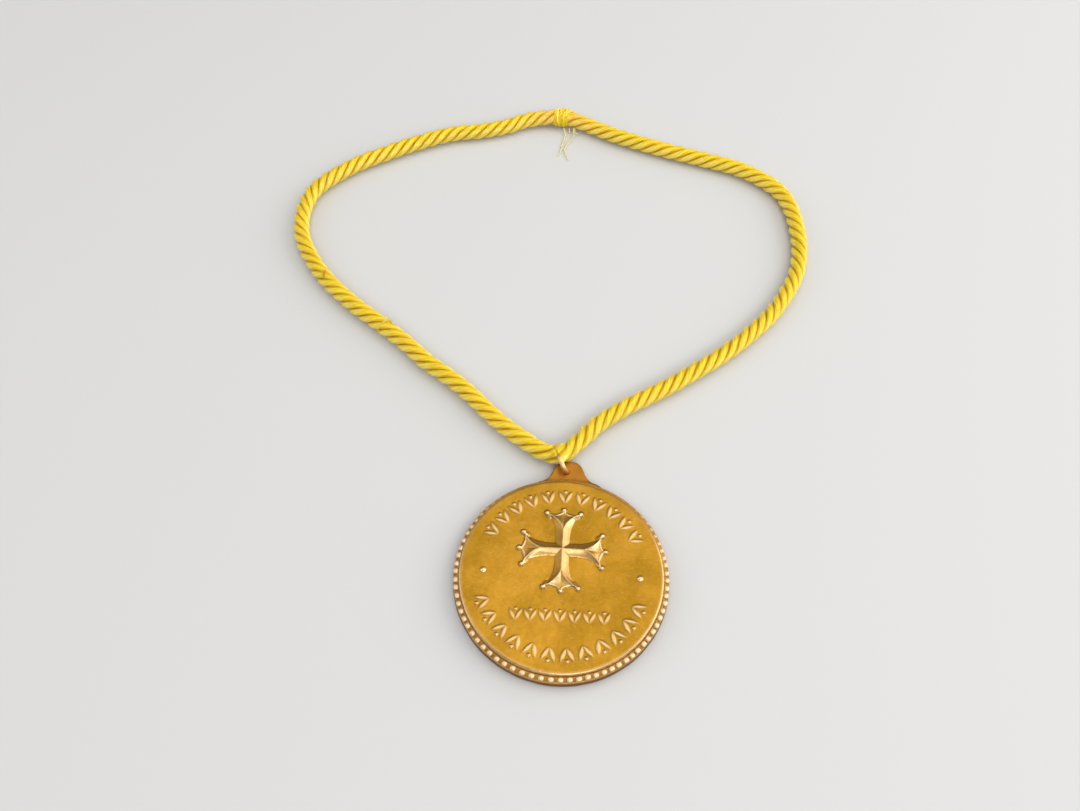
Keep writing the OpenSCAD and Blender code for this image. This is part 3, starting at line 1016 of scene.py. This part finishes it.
def make_face(material):
    """The face disc: its relief as a fine surface, a rounded shoulder, the wall and a flat underside."""
    shoulder = FACE_R - SHOULDER_R
    angle = np.arange(RIM_STEPS) * 2 * math.pi / RIM_STEPS
    rim = shoulder * np.stack([np.cos(angle), np.sin(angle)], axis=1)
    lines = list(cross_lines())
    lined = np.vstack(lines)

    def within(p):
        return np.hypot(p[:, 0], p[:, 1]) < shoulder - 0.3

    fine = hex_points(FINE_STEP, lambda p: within(p) & near_relief(p))
    coarse = hex_points(COARSE_STEP, lambda p: within(p) & ~near_relief(p))
    fill = np.vstack([thinned(fine, lined, LINE_GAP), coarse])
    flat = np.vstack([rim, lined, fill])
    bounds = closed_bounds(RIM_STEPS)
    start = RIM_STEPS
    for line in lines:
        bounds += [(start + i, start + i + 1) for i in range(len(line) - 1)]
        start += len(line)
    plane, edges, triangles, sources = triangulated(flat, bounds)
    height, pale = face_height(plane)
    height = smoothed(height, edges, 2)
    curve = height - smoothed(height, edges, 5)
    pale = np.maximum(0.45 * smoothstep(curve / 0.07), 0.9 * smoothed(pale, edges, 1))
    top = np.column_stack([plane, FIELD_Z + height])
    place_of = {j: i for i, ids in enumerate(sources) for j in ids}
    ring = [place_of[j] for j in range(RIM_STEPS)]
    return face_piece(top, triangles, ring, angle, curve, pale, material)


def face_piece(top, triangles, ring, angle, curve, pale, material):
    """Closes the relief with the shoulder, wall and underside, and stores where it is worn and dirty, with a
    painted highlight along the shoulder and painted shade low on the wall.
    """
    base_z = top[ring, 2].mean()
    arc = np.radians([15, 30, 45, 60, 75, 90])
    down = [(FACE_R - SHOULDER_R * (1 - math.sin(a)), base_z - SHOULDER_R * (1 - math.cos(a))) for a in arc]
    down += [(FACE_R, FACE_Z + 1.2), (FACE_R, FACE_Z + 0.2), (FACE_R - 0.2, FACE_Z)]
    points, faces = [top], list(triangles)
    last, count = list(ring), len(top)
    for r, z in down:
        drop = (top[ring, 2] - base_z) * max(0.0, 1 - (base_z - z))
        points.append(np.column_stack([r * np.cos(angle), r * np.sin(angle), z + drop]))
        new = list(range(count, count + RIM_STEPS))
        faces += [[last[i], new[i], new[j], last[j]] for i, j in closed_bounds(RIM_STEPS)]
        last, count = new, count + RIM_STEPS
    faces.append(last[::-1])
    points = np.vstack(points)
    piece = new_piece("face_relief", points, faces, material)
    wear_and_highlight, dirt_and_shade = np.zeros(len(points)), np.zeros(len(points))
    wear_and_highlight[: len(top)] = pale
    dirt_and_shade[: len(top)] = 0.5 * smoothstep(-curve / 0.09)
    r = np.hypot(points[:, 0], points[:, 1])
    on_far_side = far_side_share(np.arctan2(points[:, 1], points[:, 0]))
    # Painted highlight along the rounded shoulder, weaker on the rim's far side
    painted_shoulder_highlight = 0.6 * (1 - 0.8 * on_far_side)
    wear_and_highlight = np.maximum(wear_and_highlight, painted_shoulder_highlight * hump(r - FACE_R + 0.4, 0.5) * (points[:, 2] > FIELD_Z - 1.3))
    # Painted shade low on the wall where it meets the bead band, left off on the far side
    dirt_and_shade = np.maximum(dirt_and_shade, 0.3 * smoothstep((FIELD_Z - 1.6 - points[:, 2]) / 1.2) * (1 - on_far_side))
    set_values(piece, "wear_and_highlight", wear_and_highlight)
    set_values(piece, "dirt_and_shade", dirt_and_shade)
    return piece


# Beads, backing and lug


def bead(radius, stretch):
    """A bead pressed a little square, with its way along the rim as Y."""
    rows, columns = 9, 14
    points, faces = [], []
    for i in range(rows + 1):
        e = math.pi * i / rows
        for j in range(columns):
            a = 2 * math.pi * j / columns
            p = (math.sin(e) * math.cos(a), math.sin(e) * math.sin(a), math.cos(e))
            p = [math.copysign(abs(c) ** BEAD_SQUARE, c) * radius for c in p]
            points.append([p[0], p[1] * stretch, p[2] * BEAD_TALL])
    for i in range(rows):
        faces += [[a, a + columns, b + columns, b] for a, b in closed_bounds(columns, i * columns)]
    return np.array(points), faces


def bead_angles():
    """Where the beads stand, in degrees, set as unevenly as by hand."""
    angles = np.arange(0, 361)
    passed = np.concatenate([[0], np.cumsum(np.interp(angles[:-1] + 0.5, *zip(*SPACING_ROWS, strict=True)))])
    return np.interp(np.arange(BEADS) / BEADS * passed[-1], passed, angles)


def far_side_share(angle):
    """How far a direction, in radians, lies on the rim's far side, from 0 to 1, where the rim is left plain
    and darker as painted shade.
    """
    return 1 - smoothstep((0.97 - np.cos(angle - math.radians(FAR_SIDE_AT))) / 0.95)


def make_beads(material):
    """The band and its beads, which differ a little in size and place, with their worn tops and painted shade
    round their feet, both left off on the rim's far side.
    """
    parts = [revolve(BAND, 240)]
    heights = [np.full(len(parts[0][0]), 0.1)]
    for degrees in bead_angles():
        sunk = BEAD_SUNK * far_side_share(math.radians(degrees))
        angle = math.radians(degrees + rng.normal(0, 0.15))
        radius = BEAD_R * rng.uniform(0.96, 1.02)
        points, faces = bead(radius, rng.uniform(BEAD_LONG - 0.06, BEAD_LONG + 0.04))
        heights.append(np.clip(points[:, 2] / BEAD_R, 0, 1) * 0.6 + 0.4)
        out = BEAD_RING_R - sunk / 2 + rng.normal(0, 0.04)
        points = points + [out, 0, BEAD_Z - sunk + rng.normal(0, 0.04)]
        c, s = math.cos(angle), math.sin(angle)
        x, y = points[:, 0] * c - points[:, 1] * s, points[:, 0] * s + points[:, 1] * c
        parts.append((np.column_stack([x, y, points[:, 2]]), faces))
    piece = new_piece("bead_row", *joined(parts), material)
    height = np.concatenate(heights)
    at = np.array([v.co[:2] for v in piece.data.vertices])
    # Pale worn tops, and painted shade round the beads' feet; both are left off on the rim's far side, which
    # stays plain and darker as painted shade
    on_far_side = far_side_share(np.arctan2(at[:, 1], at[:, 0]))
    set_values(piece, "wear_and_highlight", smoothstep(height, 0.35, 0.4) * (1 - on_far_side))
    set_values(piece, "dirt_and_shade", 0.4 * (1 - smoothstep(height, 0.2, 0.35)) * (1 - on_far_side))
    return piece


def lug_outline():
    half = catmull_rom(LUG_HALF, closed=False, per_segment=5)
    left = half[::-1] * [-1, 1]
    return np.vstack([half, left[1:]]) + [LUG_X, 0]


def hole_outline():
    a = np.radians(np.arange(0, 360, 15))
    return turned(np.stack([np.cos(a), np.sin(a)], axis=1) * LUG_HOLE_HALF, RING_TURN) + LUG_HOLE_AT


def in_outline(points, outline):
    """Is each point inside the closed outline?"""
    inside = np.zeros(len(points), bool)
    for (x1, y1), (x2, y2) in zip(outline, np.roll(outline, -1, axis=0), strict=True):
        crosses = (y1 > points[:, 1]) != (y2 > points[:, 1])
        with np.errstate(divide="ignore", invalid="ignore"):
            at = x1 + (points[:, 1] - y1) * (x2 - x1) / (y2 - y1)
        inside ^= crosses & (points[:, 0] < at)
    return inside


def distance_to(points, outline):
    """Distance from each point to the closed outline."""
    best = np.full(len(points), np.inf)
    for a, b in zip(outline, np.roll(outline, -1, axis=0), strict=True):
        t = np.clip(((points - a) @ (b - a)) / max((b - a) @ (b - a), 1e-12), 0, 1)
        best = np.minimum(best, np.linalg.norm(points - (a + t[:, None] * (b - a)), axis=1))
    return best


def make_lug():
    """The lug as a slab with rounded edges and a worn oval hole. Points, faces and wear."""
    outer, hole = lug_outline(), hole_outline()
    x, y = np.meshgrid(np.arange(-12, 13, 0.4), np.arange(37, 52.2, 0.4))
    fill = np.stack([x.ravel(), y.ravel()], axis=1)
    fill = fill[in_outline(fill, outer) & ~in_outline(fill, hole)]
    fill = fill[np.minimum(distance_to(fill, outer), distance_to(fill, hole)) > 0.15]
    flat = np.vstack([outer, hole, fill])
    bounds = closed_bounds(len(outer)) + closed_bounds(len(hole), len(outer))
    plane, _, triangles, _ = triangulated(flat, bounds)
    middle = np.array([plane[t].mean(axis=0) for t in triangles])
    keep = in_outline(middle, outer) & ~in_outline(middle, hole)
    triangles = [t for t, k in zip(triangles, keep, strict=True) if k]
    d, d_hole = distance_to(plane, outer), distance_to(plane, hole)
    fall = LUG_ROUND * (1 - np.sqrt(1 - (1 - np.clip(d / LUG_ROUND, 0, 1)) ** 2))
    fall = fall + 0.06 * (1 - smoothstep(d_hole / 0.15))
    dents = roughness_of_cast([(px, py, 3) for px, py in plane], 4, 0.12)
    top = np.column_stack([plane, LUG_Z + LUG_T - fall + dents * (d > 0.05) * (d_hole > 0.05)])
    drift = np.outer(hump(d_hole, 2), LUG_HOLE_DRIFT)
    bottom = np.column_stack([plane + drift, LUG_Z + fall])
    count = len(plane)
    used = dict.fromkeys((t[i - 1], t[i]) for t in triangles for i in (1, 2, 0))
    sides = [[b, a, a + count, b + count] for a, b in used if (b, a) not in used]
    faces = triangles + [[i + count for i in reversed(t)] for t in triangles] + sides
    wear_and_highlight = np.tile(1 - smoothstep(d / 0.5), 2)
    return np.vstack([top, bottom]), faces, wear_and_highlight


def make_backing(material):
    """The copper backing disc with its lug."""
    arc = np.radians([0, 15, 30, 45, 60, 75, 90])
    low = [(BACKING_R - BACKING_ROUND * (1 - math.sin(a)), BACKING_ROUND * (1 - math.cos(a))) for a in arc]
    edge = [(BACKING_R - inward, z) for inward, z in BACKING_EDGE]
    top_z = BACKING_EDGE[-1][1]
    profile = [(0.001, 0), (20, 0), (35, 0), *low, *edge, (20, top_z), (0.001, top_z)]
    points, faces = revolve(profile, 360)
    r = np.hypot(points[:, 0], points[:, 1])
    at_edge = r > BACKING_R - 1
    uneven = roughness_of_cast(points, 7, 0.16) + roughness_of_cast(points, 1.8, 0.07)
    uneven = np.where(at_edge, np.minimum(uneven, 0.03), 0)
    points[:, :2] *= (1 + uneven / np.maximum(r, 1))[:, None]
    disc_wear = hump(points[:, 2] - top_z + 0.3, 0.35) * at_edge
    lug_points, lug_faces, lug_wear = make_lug()
    piece = new_piece("backing", *joined([(points, faces), (lug_points, lug_faces)]), material)
    set_values(piece, "wear_and_highlight", np.concatenate([disc_wear, lug_wear]))
    # Painted shade down the backing's edge below its top
    in_shade = smoothstep((top_z - 0.3 - points[:, 2]) / 1.4) * at_edge
    # The lug darker towards its foot
    foot = smoothstep((LUG_DARKER_TO_Y - lug_points[:, 1]) / 1.6) * 0.8
    set_values(piece, "dirt_and_shade", np.concatenate([in_shade, foot]))
    return piece


def make_ring(material):
    """The jump ring: an oval of flattened wire, cut on top."""
    arc = np.radians(np.arange(90, 271, 6))
    near_end = np.stack([RING_END_R * np.cos(arc) - RING_SIDE / 2, RING_END_R * np.sin(arc)], axis=1)
    cut = [RING_SIDE / 6, RING_END_R]
    loop = np.vstack([[cut[0] - RING_CUT / 2, cut[1]], near_end, -near_end, [cut[0] + RING_CUT / 2, cut[1]]])
    along = unit(np.gradient(loop, axis=0))
    outward = np.stack([along[:, 1], -along[:, 0]], axis=1)
    angle = np.arange(WIRE_SIDES) * 2 * math.pi / WIRE_SIDES
    in_plane = loop[:, None] + outward[:, None] * WIRE_THICK * np.cos(angle)[None, :, None]
    across = np.broadcast_to(WIRE_WIDE * np.sin(angle), in_plane.shape[:2])
    _, faces = tube(np.column_stack([loop, 0 * loop[:, 0]]), 1, WIRE_SIDES)
    lean, turn = math.radians(RING_LEAN), math.radians(RING_TURN)
    flat = np.stack([across, in_plane[..., 0], in_plane[..., 1]], axis=-1).reshape(-1, 3)
    upright = Matrix.Rotation(turn, 3, "Z") @ Matrix.Rotation(-lean, 3, "Y")
    points = flat @ np.array(upright).T + RING_AT
    return new_piece("ring_wire", points, faces, material)


# Stage


def make_floor():
    corners = [(x * FLOOR_HALF, y * FLOOR_HALF, FLOOR_Z) for x, y in ((-1, -1), (1, -1), (1, 1), (-1, 1))]
    floor = new_piece("floor", corners, [[0, 1, 2, 3]], floor_paper(), unit_m=1.0)


def area_light(name, place, size, power, colour=(1, 1, 1)):
    """A soft square light, aimed at the middle of the object."""
    data = bpy.data.lights.new(name, "AREA")
    data.shape = "RECTANGLE"
    data.size, data.size_y = size
    data.energy = power
    data.color = colour
    lamp = new_object(name, data)
    lamp.location = place
    aim = Vector((0, 0.06, 0)) - Vector(place)
    lamp.rotation_euler = aim.to_track_quat("-Z", "Y").to_euler()


def make_lights():
    area_light("key_right", (1.25, 0.3, 0.8), (1.9, 1.3), 18, (1, 0.98, 0.95))
    area_light("overhead", (0.1, 0.34, 1.5), (1.4, 1.3), 8.5, (1, 0.99, 0.97))
    area_light("front", (0.3, -1.2, 1.2), (0.9, 0.6), 9)
    area_light("fill_left", (-1.3, 0.1, 0.9), (1.2, 1.0), 5)
    world = bpy.data.worlds.new("world")
    world.use_nodes = True
    background = world.node_tree.nodes["Background"]
    background.inputs["Color"].default_value = (0.95, 0.97, 1.0, 1.0)
    background.inputs["Strength"].default_value = 0.47
    bpy.context.scene.world = world
    bpy.context.scene.view_settings.view_transform = "Standard"


make_camera()

pale_thread = tail_thread()
line, along_rope = rope_line()
rope = make_rope(line, along_rope, rope_satin())
whipping = make_whipping(whipping_thread())
tails = make_tails(pale_thread)
stitch = make_stitch(line, mend_thread())
hairs = make_hairs(line, pale_thread)
for piece, slot in ((rope, "rope_satin"), (whipping, "whipping_thread"), (tails, "whipping_thread"),
                    (stitch, "whipping_thread"), (hairs, "rope_satin")):
    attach(piece, "root")
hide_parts("neck_cord")
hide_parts("neck_whipping")

for piece, node, slot in ((make_face(face_gilt()), "face_disc", "face_gilt"),
                          (make_beads(bead_gilt()), "bead_rim", "bead_gilt"),
                          (make_backing(backing_copper()), "backing_disc", "backing_copper"),
                          (make_ring(ring_gilt()), "jump_ring", "ring_gilt")):
    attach(piece, "root")
    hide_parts(node)

make_floor()
make_lights()
